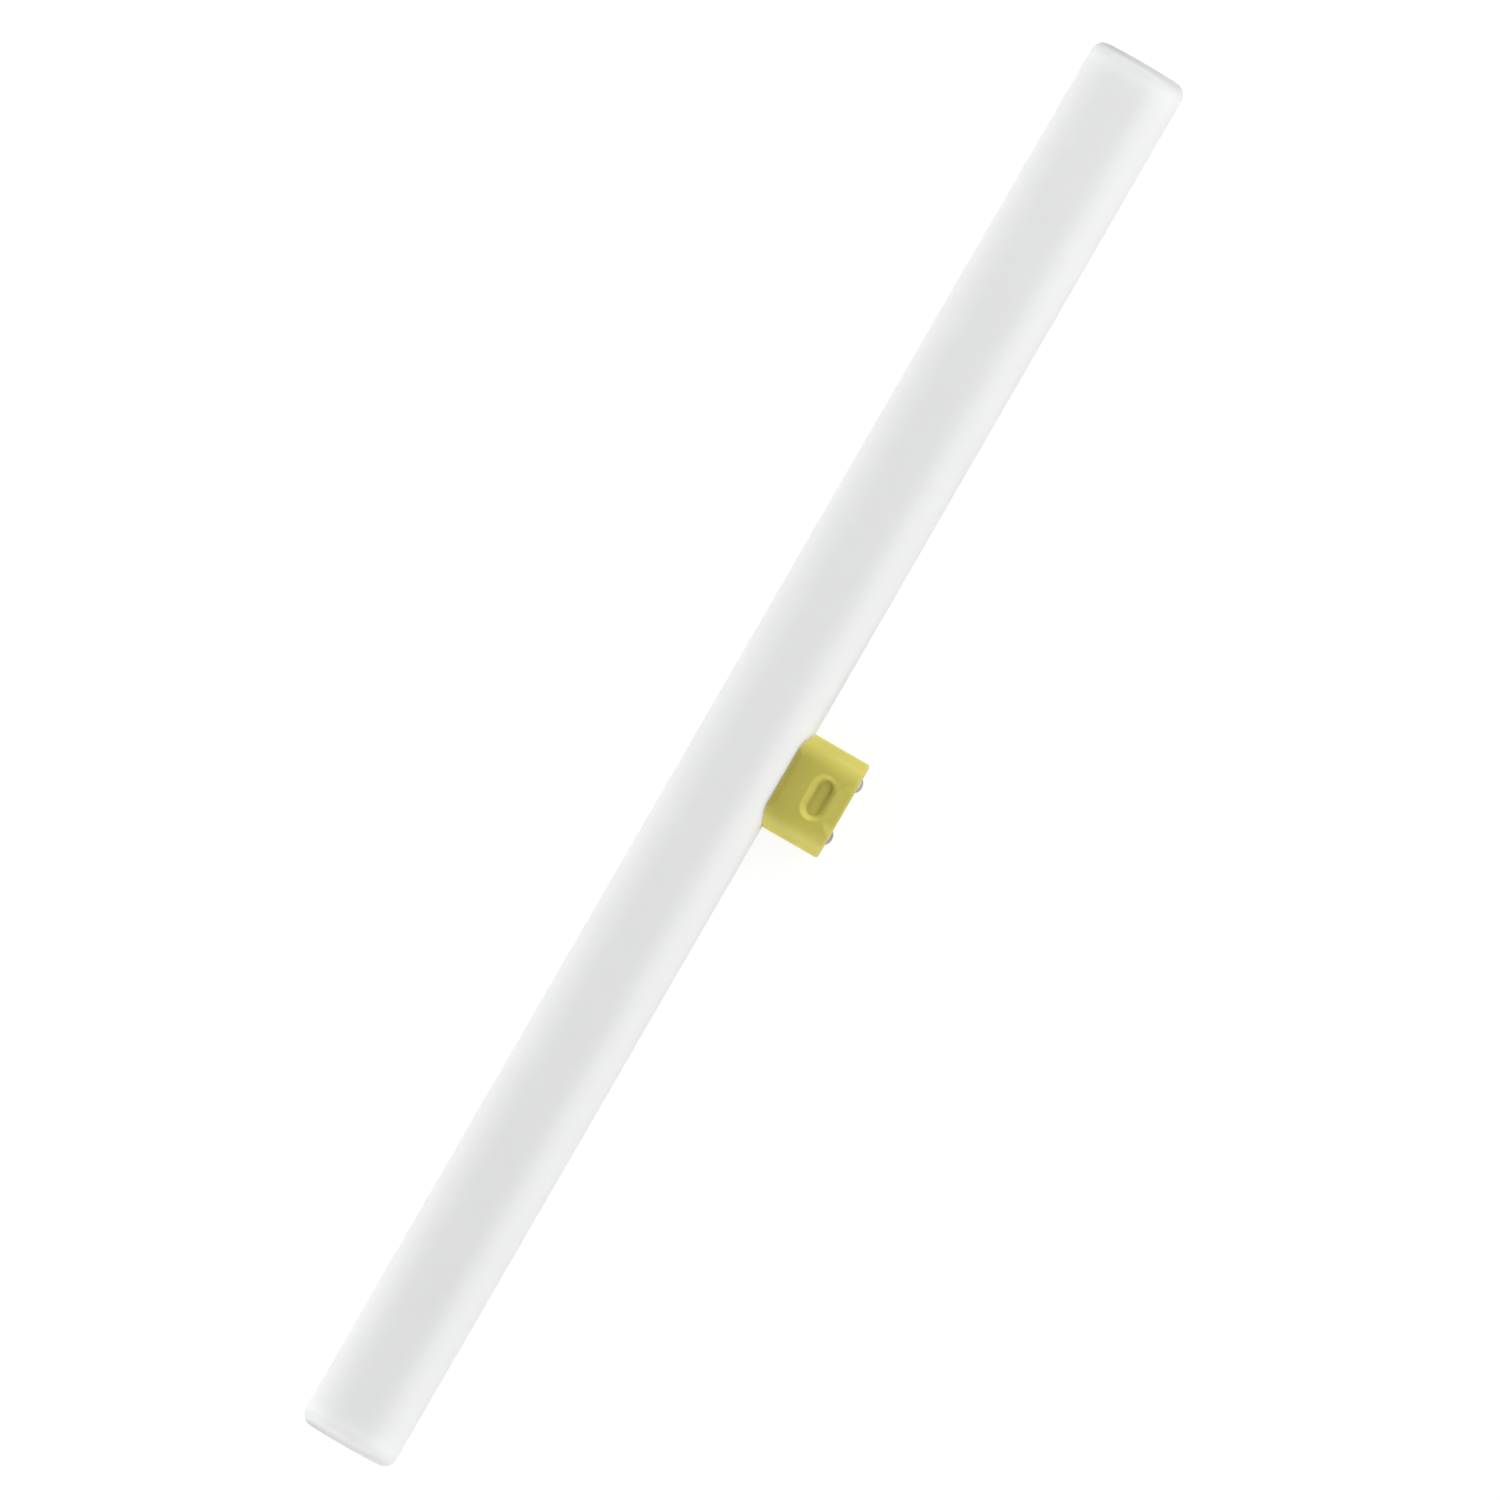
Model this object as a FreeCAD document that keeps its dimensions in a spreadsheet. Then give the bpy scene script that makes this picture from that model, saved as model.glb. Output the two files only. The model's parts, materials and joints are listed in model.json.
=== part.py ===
import FreeCAD, Part
import Sketcher
import math
import os
from collections import namedtuple

# Linear tube lamp with one moulded cap on its side, at the middle of its length.
#
# Every piece is drawn in the lamp's own axes: X runs along the tube, the cap stands out
# along -Y and its two flat sides face +Z and -Z, with the tube's centre at the origin.
# The finished lamp is then rolled about X until the cap's outer rim meets the ground
# beside the tube, which is how it lies when it is put down.

# The driving dimensions, in millimetres and degrees.
SIZES = {
    # the glass tube and the fused seals that its leads go into
    "tube_length": 500.0,
    "tube_diameter": 32.7,
    "tube_end_radius": 4.1,
    "seal_diameter": 4.4,
    "seal_rise": 1.5,
    "seal_bore_depth": 5.0,
    # the cap's outer form, with its reach counted from the tube's axis
    "cap_length": 33.5,
    "cap_thickness": 18.2,
    "cap_reach": 36.25,
    "cap_rim_chamfer": 0.7,
    "cap_foot_rise": 2.5,
    "cap_foot_angle": 13.5,
    "saddle_clearance": 0.05,
    # the cap's inside
    "cap_side_wall": 2.6,
    "cap_end_wall": 3.0,
    "rib_thickness": 1.4,
    "rib_rise": 9.0,
    "boss_diameter": 7.0,
    "boss_rise": 1.5,
    # the latch recess in each flat side, its outline at the mouth, with sloping walls
    "recess_end_margin": 0.25,
    "recess_width": 8.8,
    "recess_depth": 1.25,
    "recess_wall_run": 2.2,
    "recess_edge_radius": 0.6,
    "recess_from_face": 9.1,
    # the lead-in ramp of each flat side at the outer face, with its insets from the cap's ends
    "ramp_length": 4.4,
    "ramp_depth": 1.4,
    "ramp_floor_inset": 10.55,
    "ramp_mouth_inset": 7.05,
    "ramp_corner_radius": 5.0,
    # the domed contacts, riveted through the end wall, each at an inset from its end
    "contact_inset": 7.4,
    "head_diameter": 5.2,
    "head_rise": 1.2,
    "seat_depth": 0.5,
    "seat_clearance": 0.2,
    "shank_diameter": 2.6,
    "shank_clearance": 0.05,
    "tail_diameter": 4.2,
    "tail_top_diameter": 3.2,
    "tail_rise": 0.9,
    # the bent tags under the riveted tails
    "tag_thickness": 0.5,
    "tag_ring_diameter": 5.6,
    "tag_width": 2.6,
    "tag_sleeve_gap": 1.5,
    "tag_bend_radius": 0.3,
    # the leads and the sleeves over their first stretch
    "wire_diameter": 0.8,
    "wire_clearance": 0.02,
    "sleeve_length": 2.8,
    "sleeve_wall": 0.4,
    "sleeve_clearance": 0.05,
    # the cement inside the cap's rim
    "cement_width": 1.6,
    "cement_rise": 1.8,
    "cement_clearance": 0.05,
}

# What follows from the driving dimensions. A level is a distance from the tube's axis.
DERIVED = {
    "tube_radius": "Sizes.tube_diameter / 2",
    "half_length": "Sizes.cap_length / 2",
    "half_thickness": "Sizes.cap_thickness / 2",
    "flat_half": "half_length - half_thickness",
    "saddle_radius": "tube_radius + Sizes.saddle_clearance",
    "saddle_edge": "sqrt(saddle_radius ^ 2 - half_thickness ^ 2)",
    "foot_level": "saddle_edge + Sizes.cap_foot_rise",
    "hollow_level": "Sizes.cap_reach - Sizes.cap_end_wall",
    "boss_level": "hollow_level - Sizes.boss_rise",
    "tag_level": "boss_level - Sizes.tag_thickness",
    "tail_level": "tag_level - Sizes.tail_rise",
    "seat_level": "Sizes.cap_reach - Sizes.seat_depth",
    "dome_level": "Sizes.cap_reach + Sizes.head_rise",
    "seal_level": "tube_radius + Sizes.seal_rise",
    "lead_level": "seal_level - Sizes.seal_bore_depth",
    "cement_level": "tube_radius + Sizes.cement_rise",
    "recess_level": "Sizes.cap_reach - Sizes.recess_from_face",
    "recess_half": "flat_half - Sizes.recess_end_margin",
    "recess_taper": "atan(Sizes.recess_wall_run / Sizes.recess_depth)",
    "ramp_floor": "half_thickness - Sizes.ramp_depth",
    "floor_half": "half_length - Sizes.ramp_floor_inset",
    "mouth_half": "half_length - Sizes.ramp_mouth_inset",
    "mouth_level": "sqrt(half_thickness ^ 2 - max(mouth_half - flat_half; 0) ^ 2)",
    "flank_run": "mouth_half - floor_half",
    "flank_angle": "atan((mouth_level - ramp_floor) / flank_run)",
    "head_radius": "Sizes.head_diameter / 2",
    "shank_radius": "Sizes.shank_diameter / 2",
    "tail_radius": "Sizes.tail_diameter / 2",
    "tail_top_radius": "Sizes.tail_top_diameter / 2",
    "dome_radius": "(head_radius ^ 2 + Sizes.head_rise ^ 2) / (2 * Sizes.head_rise)",
    "contact_place": "half_length - Sizes.contact_inset",
    "sleeve_level": "seal_level + Sizes.sleeve_clearance",
    "tongue_level": "sleeve_level + Sizes.sleeve_length + Sizes.tag_sleeve_gap",
    "tongue_place": "contact_place - Sizes.tag_ring_diameter / 2",
    "tongue_face": "tongue_place - Sizes.tag_thickness",
    "wire_place": "tongue_face - Sizes.wire_clearance - Sizes.wire_diameter / 2",
    "wire_run": "tag_level - Sizes.tag_bend_radius - lead_level",
    "rest_out": "Sizes.cap_reach - Sizes.cap_rim_chamfer",
    "rest_drop": "Sizes.ramp_depth * Sizes.cap_rim_chamfer / Sizes.ramp_length",
    "lobe_slope": "max(mouth_half - flat_half; 0) / mouth_level",
    "rest_half": "mouth_half - rest_drop / (tan(flank_angle) + lobe_slope)",
    "rest_side": "sqrt(half_thickness ^ 2 - max(rest_half - flat_half; 0) ^ 2)",
    "rest_far": "sqrt(rest_out ^ 2 + rest_side ^ 2)",
    "roll": "asin(tube_radius / rest_far) - atan(rest_side / rest_out)",
    "rim_side": "mouth_level - Sizes.cap_rim_chamfer",
    "front": "Sizes.cap_reach * cos(roll) + rim_side * sin(roll)",
    "centring": "(front - tube_radius) / 2",
}

SIDES = {"left": "-1", "right": "1"}

# How near two places are when they count as one, in millimetres.
TOUCH = 0.01

# A corner of an outline, with the centre of the arc that leaves it, if one does. Such an arc
# runs anticlockwise to the next corner.
Corner = namedtuple("Corner", "x y centre_x centre_y", defaults=("", ""))

doc = FreeCAD.newDocument("tube_lamp")


def fill_sheets():
    """Write the driving dimensions and what follows from them to two sheets."""
    sizes = doc.addObject("Spreadsheet::Sheet", "Sizes")
    for row, (name, value) in enumerate(SIZES.items(), start=1):
        sizes.set(f"A{row}", name)
        sizes.set(f"B{row}", str(value))
        sizes.setAlias(f"B{row}", name)
    derived = doc.addObject("Spreadsheet::Sheet", "Derived")
    for row, (name, formula) in enumerate(DERIVED.items(), start=1):
        derived.set(f"A{row}", name)
        derived.set(f"B{row}", f"={formula}")
        derived.setAlias(f"B{row}", name)
    doc.recompute()


def number(expression):
    """What an expression in the sheets' names comes to, as a plain number."""
    value = doc.getObject("Derived").evalExpression(expression)
    return float(getattr(value, "Value", value))


def new_body(label):
    """A body that is laid down with the rest of the lamp."""
    body = doc.addObject("PartDesign::Body", label)
    body.Label = label
    body.Placement.Rotation = FreeCAD.Rotation(FreeCAD.Vector(1, 0, 0), number("Derived.roll"))
    body.setExpression("Placement.Rotation.Angle", "Derived.roll")
    body.setExpression("Placement.Base.y", "Derived.centring")
    body.setExpression("Placement.Base.z", "Derived.tube_radius")
    return body


def origin_plane(body, role):
    """One of the body's own origin planes."""
    return [item for item in body.Origin.OriginFeatures if item.Role == role][0]


def new_sketch(body, name, plane, level="0", shift="0"):
    """A sketch parallel to one of the body's origin planes.

    The level is its distance along the plane's normal and the shift its move along the
    sketch's X. On XZ_Plane the normal is -Y, so a level is a distance from the tube's axis.
    """
    sketch = body.newObject("Sketcher::SketchObject", f"{body.Name}_{name}")
    sketch.AttachmentSupport = (origin_plane(body, plane), [""])
    sketch.MapMode = "FlatFace"
    sketch.setExpression("AttachmentOffset.Base.z", level)
    sketch.setExpression("AttachmentOffset.Base.x", shift)
    return sketch


def hold(sketch, kind, element, point, expression):
    """Fix one coordinate of a point, a DistanceX or DistanceY, to an expression."""
    fixed = Sketcher.Constraint(kind, -1, 1, element, point, number(expression))
    index = sketch.addConstraint(fixed)
    sketch.setExpression(f"Constraints[{index}]", expression)


def hold_both(sketch, element, point, x, y):
    """Fix both coordinates of a point to expressions."""
    hold(sketch, "DistanceX", element, point, x)
    hold(sketch, "DistanceY", element, point, y)


def arc_between(start, end, centre):
    """The arc that runs anticlockwise from a start to an end about a centre."""
    angles = [math.atan2(point.y - centre.y, point.x - centre.x) for point in (start, end)]
    if angles[1] <= angles[0]:
        angles[1] += 2 * math.pi
    circle = Part.Circle(centre, FreeCAD.Vector(0, 0, 1), (start - centre).Length)
    return Part.ArcOfCircle(circle, *angles)


def draw(sketch, corners):
    """Draw a closed outline, each corner fixed by its expressions, with the arcs it asks for.

    A corner that ends an arc is fixed across the arc's run alone, because the arc's centre and
    its start already settle how far out the corner lies.
    """
    points = [FreeCAD.Vector(number(corner.x), number(corner.y), 0) for corner in corners]
    count = len(corners)
    base = sketch.GeometryCount
    for index, corner in enumerate(corners):
        start = points[index]
        end = points[(index + 1) % count]
        if corner.centre_x:
            centre = FreeCAD.Vector(number(corner.centre_x), number(corner.centre_y), 0)
            sketch.addGeometry(arc_between(start, end, centre))
            hold_both(sketch, base + index, 3, corner.centre_x, corner.centre_y)
        else:
            sketch.addGeometry(Part.LineSegment(start, end))
    for index in range(count):
        link = (base + index, 2, base + (index + 1) % count, 1)
        sketch.addConstraint(Sketcher.Constraint("Coincident", *link))
    for index, corner in enumerate(corners):
        element = (index - 1) % count
        before = corners[element]
        if not before.centre_x:
            hold_both(sketch, base + element, 2, corner.x, corner.y)
            continue
        across = abs(points[index].x - number(before.centre_x))
        along = abs(points[index].y - number(before.centre_y))
        if along > across:
            hold(sketch, "DistanceX", base + element, 2, corner.x)
        else:
            hold(sketch, "DistanceY", base + element, 2, corner.y)


def draw_circle(sketch, x, y, diameter):
    """Draw a circle whose centre and diameter are expressions."""
    centre = FreeCAD.Vector(number(x), number(y), 0)
    circle = Part.Circle(centre, FreeCAD.Vector(0, 0, 1), number(diameter) / 2)
    element = sketch.addGeometry(circle)
    hold_both(sketch, element, 3, x, y)
    index = sketch.addConstraint(Sketcher.Constraint("Diameter", element, number(diameter)))
    sketch.setExpression(f"Constraints[{index}]", diameter)


def rectangle(left, right, low, high):
    """The corners of a rectangle between four expressions."""
    return [Corner(left, low), Corner(right, low), Corner(right, high), Corner(left, high)]


def racetrack(half_x, half_y, middle_y="0"):
    """The corners of a slot with half-round ends, about a point on the Y axis."""
    x = f"({half_x} - ({half_y}))"
    low = f"{middle_y} - ({half_y})"
    high = f"{middle_y} + {half_y}"
    return [
        Corner(f"-1 * {x}", low),
        Corner(x, low, x, middle_y),
        Corner(x, high),
        Corner(f"-1 * {x}", high, f"-1 * {x}", middle_y),
    ]


def pad(body, sketch, length, reverse=False):
    """Add the sketch's outline, drawn out by a length, to the body."""
    feature = body.newObject("PartDesign::Pad", f"{sketch.Name}_pad")
    feature.Profile = sketch
    feature.Reversed = reverse
    feature.setExpression("Length", length)
    return feature


def pocket(body, sketch, length, reverse=False, both_ways=False):
    """Cut the sketch's outline, drawn out by a length, from the body."""
    feature = body.newObject("PartDesign::Pocket", f"{sketch.Name}_pocket")
    feature.Profile = sketch
    feature.Reversed = reverse
    feature.SideType = "Symmetric" if both_ways else "One side"
    feature.setExpression("Length", length)
    return feature


def dress_up(body, kind, name, chosen):
    """A fillet or a chamfer on the edges of the body so far that a test picks out."""
    doc.recompute()
    base = body.Tip
    names = []
    for index, edge in enumerate(base.Shape.Edges, start=1):
        if chosen(edge):
            names.append(f"Edge{index}")
    feature = body.newObject(f"PartDesign::{kind}", f"{body.Name}_{name}")
    feature.Base = (base, names)
    return feature


def fillet(body, name, radius, chosen):
    """Round the edges that a test picks out."""
    dress_up(body, "Fillet", name, chosen).setExpression("Radius", radius)


def chamfer(body, name, size, chosen):
    """Bevel the edges that a test picks out."""
    dress_up(body, "Chamfer", name, chosen).setExpression("Size", size)


def spans(edge):
    """The edge's box in the lamp's own axes, as its low and its high corner."""
    box = edge.BoundBox
    return (
        FreeCAD.Vector(box.XMin, box.YMin, box.ZMin),
        FreeCAD.Vector(box.XMax, box.YMax, box.ZMax),
    )


def lies_on(edge, axis, place):
    """Whether the edge lies in the plane square to an axis at a place along it."""
    low, high = spans(edge)
    return abs(low[axis] - place) < TOUCH and abs(high[axis] - place) < TOUCH


def cut_saddle(body, radius):
    """Cut the tube's round, at a radius, out of a piece that sits on it."""
    sketch = new_sketch(body, "saddle", "YZ_Plane")
    draw_circle(sketch, "0", "0", f"2 * {radius}")
    return pocket(body, sketch, "2 * Sizes.cap_length", both_ways=True)


def make_opal_tube():
    """The sealed tube, with a fused seal that each lead goes into."""
    body = new_body("opal_tube")
    section = new_sketch(body, "section", "YZ_Plane")
    draw_circle(section, "0", "0", "Sizes.tube_diameter")
    barrel = pad(body, section, "Sizes.tube_length")
    barrel.SideType = "Symmetric"
    half = number("Sizes.tube_length / 2")
    fillet(
        body,
        "end_rims",
        "Sizes.tube_end_radius",
        lambda edge: lies_on(edge, 0, half) or lies_on(edge, 0, -half),
    )
    seals = new_sketch(body, "seals", "XZ_Plane")
    bores = new_sketch(body, "bores", "XZ_Plane", "Derived.lead_level")
    bore = "Sizes.wire_diameter + 2 * Sizes.wire_clearance"
    for side in SIDES.values():
        draw_circle(seals, f"{side} * Derived.wire_place", "0", "Sizes.seal_diameter")
        draw_circle(bores, f"{side} * Derived.wire_place", "0", bore)
    pad(body, seals, "Derived.seal_level").AllowMultiFace = True
    pocket(body, bores, "2 * Sizes.seal_bore_depth", reverse=True)
    return body


def make_cap_body():
    """The moulded cap, a cup that is open towards the tube."""
    body = new_body("cap_body")
    outline = new_sketch(body, "outline", "XZ_Plane")
    draw(outline, racetrack("Derived.half_length", "Derived.half_thickness"))
    pad(body, outline, "Sizes.cap_reach")
    bevel_foot(body)
    add_ramps(body)
    add_recesses(body)
    break_outside(body)
    cut_saddle(body, "Derived.saddle_radius")
    hollow_out(body)
    return body


def mirror_across(body, name, feature):
    """Repeat a feature on the cap's other flat side."""
    doc.recompute()
    mirrored = body.newObject("PartDesign::Mirrored", f"{body.Name}_{name}")
    mirrored.Originals = [feature]
    mirrored.MirrorPlane = (origin_plane(body, "XY_Plane"), [""])
    body.Tip = mirrored


def bevel_foot(body):
    """Slope the foot of each flat side in, towards the tube."""
    low = "Derived.half_thickness - Derived.foot_level * tan(Sizes.cap_foot_angle * 1 deg)"
    corners = [
        Corner("-Derived.foot_level", "Derived.half_thickness"),
        Corner("0", low),
        Corner("0", "Sizes.cap_thickness"),
        Corner("-Derived.foot_level", "Sizes.cap_thickness"),
    ]
    sketch = new_sketch(body, "foot", "YZ_Plane")
    draw(sketch, corners)
    bevel = pocket(body, sketch, "2 * Sizes.cap_length", both_ways=True)
    mirror_across(body, "feet", bevel)


def add_ramps(body):
    """Cut a ramp into each flat side, deepest at the outer face, with sloping flanks.

    The floor turns up into its flanks in an arc, which starts as far from the corner of
    the two as it ends.
    """
    floor = "Derived.ramp_floor"
    setback = "(Sizes.ramp_corner_radius * tan(Derived.flank_angle / 2))"
    arc_start = f"(Derived.floor_half - {setback})"
    arc_end = f"(Derived.floor_half + {setback} * cos(Derived.flank_angle))"
    arc_rise = f"{floor} + {setback} * sin(Derived.flank_angle)"
    centre = f"{floor} + Sizes.ramp_corner_radius"
    above = f"{floor} + 2 * Sizes.ramp_depth"
    wide = "(Derived.floor_half + 2 * Sizes.ramp_depth / tan(Derived.flank_angle))"
    corners = [
        Corner(f"-1 * {arc_start}", floor),
        Corner(arc_start, floor, arc_start, centre),
        Corner(arc_end, arc_rise),
        Corner(wide, above),
        Corner(f"-1 * {wide}", above),
        Corner(f"-1 * {arc_end}", arc_rise, f"-1 * {arc_start}", centre),
    ]
    sketch = new_sketch(body, "ramp", "XZ_Plane", "Sizes.cap_reach")
    draw(sketch, corners)
    ramp = pocket(body, sketch, "2 * sqrt(Sizes.ramp_length ^ 2 + Sizes.ramp_depth ^ 2)")
    ramp.UseCustomVector = True
    ramp.AlongSketchNormal = False
    ramp.setExpression("Direction.x", "0")
    ramp.setExpression("Direction.y", "Sizes.ramp_length")
    ramp.setExpression("Direction.z", "Sizes.ramp_depth")
    mirror_across(body, "ramps", ramp)


def add_recesses(body):
    """Cut the latch recess, with its walls sloping in, into each flat side."""
    sketch = new_sketch(body, "recess", "XY_Plane", "Derived.half_thickness")
    half_width = "Sizes.recess_width / 2"
    draw(sketch, racetrack("Derived.recess_half", half_width, "-Derived.recess_level"))
    recess = pocket(body, sketch, "Sizes.recess_depth")
    recess.setExpression("TaperAngle", "-Derived.recess_taper")
    mirror_across(body, "recesses", recess)


def break_outside(body):
    """Chamfer the outer rim and round the mouths of the recesses."""
    reach = number("Sizes.cap_reach")
    chamfer(body, "rim", "Sizes.cap_rim_chamfer", lambda edge: lies_on(edge, 1, -reach))
    mouth = number("Derived.half_thickness")
    half = number("Derived.recess_half")
    inner = number("-Derived.recess_level + Sizes.recess_width / 2")
    outer = number("-Derived.recess_level - Sizes.recess_width / 2")

    def is_mouth(edge):
        low, high = spans(edge)
        within = -half < low.x + TOUCH and high.x < half + TOUCH
        beside = outer < low.y + TOUCH and high.y < inner + TOUCH
        flat = lies_on(edge, 2, mouth) or lies_on(edge, 2, -mouth)
        return within and beside and flat

    fillet(body, "recess_edges", "Sizes.recess_edge_radius", is_mouth)


def inset_outline(depth):
    """The cap's outline, moved in by a depth."""
    return racetrack(f"Derived.half_length - ({depth})", f"Derived.half_thickness - ({depth})")


def hollow_out(body):
    """Open the cup, and add its rib, its contact bosses, seats and shank holes."""
    hollow = new_sketch(body, "hollow", "XZ_Plane")
    draw(hollow, inset_outline("Sizes.cap_side_wall"))
    pocket(body, hollow, "Derived.hollow_level", reverse=True)

    rib = new_sketch(body, "rib", "XZ_Plane", "Derived.hollow_level")
    rib_end = "(Derived.half_thickness - Sizes.cap_side_wall / 2)"
    rib_side = "Sizes.rib_thickness / 2"
    draw(rib, rectangle(f"-{rib_side}", rib_side, f"-1 * {rib_end}", rib_end))
    pad(body, rib, "Sizes.rib_rise", reverse=True)

    rounds = (
        ("bosses", "Derived.hollow_level", "Sizes.boss_diameter"),
        ("seats", "Sizes.cap_reach", "Sizes.head_diameter + 2 * Sizes.seat_clearance"),
        ("shank_holes", "Sizes.cap_reach", "Sizes.shank_diameter + 2 * Sizes.shank_clearance"),
    )
    sketches = {}
    for name, level, diameter in rounds:
        sketches[name] = new_sketch(body, name, "XZ_Plane", level)
        for side in SIDES.values():
            draw_circle(sketches[name], f"{side} * Derived.contact_place", "0", diameter)
    pad(body, sketches["bosses"], "Sizes.boss_rise", reverse=True)
    pocket(body, sketches["seats"], "Sizes.seat_depth")
    pocket(body, sketches["shank_holes"], "Sizes.cap_reach - Derived.tail_level")


def make_cement_bead():
    """The ring of cement between the tube and the inside of the cap's rim."""
    body = new_body("cement_bead")
    ring = new_sketch(body, "ring", "XZ_Plane")
    inset = "Sizes.cap_side_wall + Sizes.cement_clearance"
    for depth in (inset, f"{inset} + Sizes.cement_width"):
        draw(ring, inset_outline(depth))
    pad(body, ring, "Derived.cement_level")
    cut_saddle(body, "(Derived.tube_radius + Sizes.cement_clearance)")
    return body


def make_contact(name, side):
    """A contact: domed head, shank through the end wall and riveted tail."""
    body = new_body(f"contact_{name}")
    sketch = new_sketch(body, "profile", "XY_Plane", shift=f"{side} * Derived.contact_place")
    corners = [
        Corner("0", "-Derived.dome_level", "0", "Derived.dome_radius - Derived.dome_level"),
        Corner("Derived.head_radius", "-Sizes.cap_reach"),
        Corner("Derived.head_radius", "-Derived.seat_level"),
        Corner("Derived.shank_radius", "-Derived.seat_level"),
        Corner("Derived.shank_radius", "-Derived.tag_level"),
        Corner("Derived.tail_radius", "-Derived.tag_level"),
        Corner("Derived.tail_top_radius", "-Derived.tail_level"),
        Corner("0", "-Derived.tail_level"),
    ]
    draw(sketch, corners)
    turned = body.newObject("PartDesign::Revolution", f"{body.Name}_turned")
    turned.Profile = sketch
    turned.ReferenceAxis = (sketch, ["V_Axis"])
    turned.Angle = 360
    return body


def make_contact_tag(name, side):
    """A tag: a ring round the shank, with a tongue bent up towards the tube."""
    body = new_body(f"contact_tag_{name}")
    place = f"{side} * Derived.contact_place"
    half = "Sizes.tag_width / 2"
    ring = new_sketch(body, "ring", "XZ_Plane", "Derived.tag_level")
    draw_circle(ring, place, "0", "Sizes.tag_ring_diameter")
    pad(body, ring, "Sizes.tag_thickness")
    strap = new_sketch(body, "strap", "XZ_Plane", "Derived.tag_level")
    draw(strap, rectangle(f"{side} * Derived.tongue_face", place, f"-{half}", half))
    pad(body, strap, "Sizes.tag_thickness")
    tongue = new_sketch(body, "tongue", "XZ_Plane", "Derived.boss_level")
    edges = (f"{side} * Derived.tongue_face", f"{side} * Derived.tongue_place")
    draw(tongue, rectangle(*edges, f"-{half}", half))
    pad(body, tongue, "Derived.boss_level - Derived.tongue_level", reverse=True)
    hole = new_sketch(body, "hole", "XZ_Plane", "Derived.boss_level")
    draw_circle(hole, place, "0", "Sizes.shank_diameter + 2 * Sizes.shank_clearance")
    pocket(body, hole, "Sizes.tag_thickness")
    inside = number(f"{side} * Derived.tongue_face")
    outer = number("Derived.boss_level")
    fillet(
        body,
        "bend",
        "Sizes.tag_bend_radius + Sizes.tag_thickness",
        lambda edge: lies_on(edge, 0, inside) and lies_on(edge, 1, -outer),
    )
    return body


def make_lead_wire(name, side):
    """A lead from inside the tube's seal to the tag."""
    body = new_body(f"lead_wire_{name}")
    section = new_sketch(body, "section", "XZ_Plane", "Derived.lead_level")
    draw_circle(section, f"{side} * Derived.wire_place", "0", "Sizes.wire_diameter")
    pad(body, section, "Derived.wire_run")
    return body


def make_lead_sleeve(name, side):
    """The sleeve over a lead's first stretch, from the seal up."""
    body = new_body(f"lead_sleeve_{name}")
    sketch = new_sketch(body, "section", "XZ_Plane", "Derived.sleeve_level")
    bore = "Sizes.wire_diameter + 2 * Sizes.sleeve_clearance"
    for diameter in (bore, f"{bore} + 2 * Sizes.sleeve_wall"):
        draw_circle(sketch, f"{side} * Derived.wire_place", "0", diameter)
    pad(body, sketch, "Sizes.sleeve_length")
    return body


def make_pieces():
    """Every piece of the lamp, by the name of its node."""
    bodies = [make_opal_tube(), make_cap_body(), make_cement_bead()]
    for name, side in SIDES.items():
        bodies.append(make_contact(name, side))
        bodies.append(make_contact_tag(name, side))
        bodies.append(make_lead_wire(name, side))
        bodies.append(make_lead_sleeve(name, side))
    doc.recompute()
    return bodies


def check(bodies):
    """Stop if any object failed, or a piece isn't one valid solid."""
    for item in doc.Objects:
        if "Invalid" in item.State or "Error" in item.State:
            raise RuntimeError(f"{item.Name} is {item.State}")
    for body in bodies:
        shape = body.Shape
        if shape.isNull() or not shape.isValid() or len(shape.Solids) != 1:
            raise RuntimeError(f"{body.Label} is not one valid solid")


def export(bodies):
    """Write each piece to a STEP file named after its node."""
    os.makedirs("parts", exist_ok=True)
    for body in bodies:
        body.Shape.exportStep(f"parts/{body.Label}.step")
        box = body.Shape.BoundBox
        size = f"{box.XLength:.2f} x {box.YLength:.2f} x {box.ZLength:.2f}"
        print(f"{body.Label}: {body.Shape.Volume:.2f} cubic mm, {size} mm, low {box.ZMin:.3f}")


fill_sheets()
pieces = make_pieces()
check(pieces)
export(pieces)
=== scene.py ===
"""Tubular light bulb with one side cap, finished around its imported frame.

The lamp's own axes are X along the tube, -Y out through the cap and Z square to the cap's two
flat sides, with the tube's centre as their origin. Every piece is drawn in these axes and then
laid down with the lamp. Lengths are in metres.
"""

import json
import logging
import math
from collections.abc import Callable, Sequence
from dataclasses import dataclass, field
from enum import Enum

import bpy
import numpy as np
from mathutils import Matrix, Vector
from mathutils.geometry import delaunay_2d_cdt

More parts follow.
